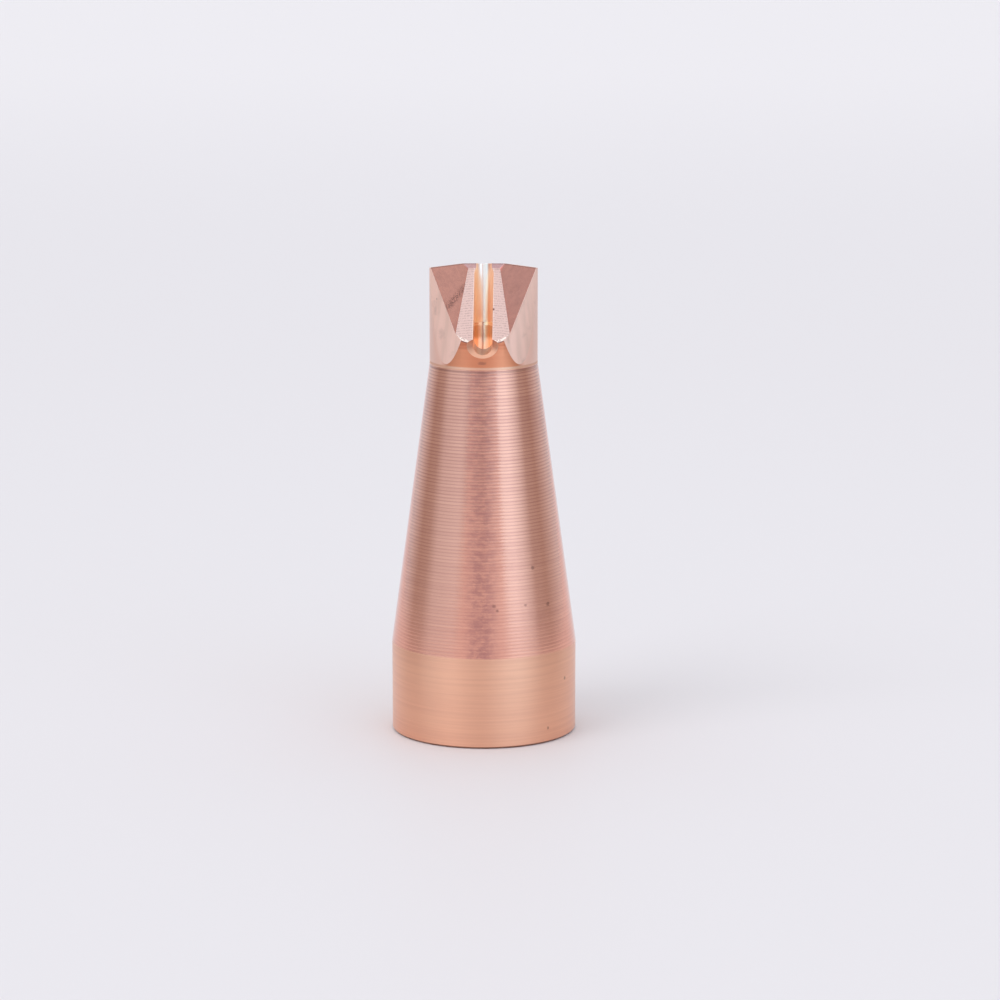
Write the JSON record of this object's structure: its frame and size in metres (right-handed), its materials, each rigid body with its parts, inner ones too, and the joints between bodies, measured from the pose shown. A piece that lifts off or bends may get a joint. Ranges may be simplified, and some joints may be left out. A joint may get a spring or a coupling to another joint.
{
  "type": "laser welding nozzle",
  "caption": "Turned copper nozzle for a hand-held wire-feed laser welding gun: threaded cylindrical base, long cone and a notched, slotted tip with a wire entry",
  "frame": {"origin": "centre of the flat, threaded base face that the nozzle stands on", "axes": "+Z along the nozzle from the threaded base to the tip; the wire enters the tip from -Y; the plane X = 0 is the plane of symmetry"},
  "size_m": [0.016, 0.016, 0.0406],
  "materials": {
    "copper": null
  },
  "bodies": {
    "root": {"nozzle_body": "copper"}
  },
  "joints": []
}
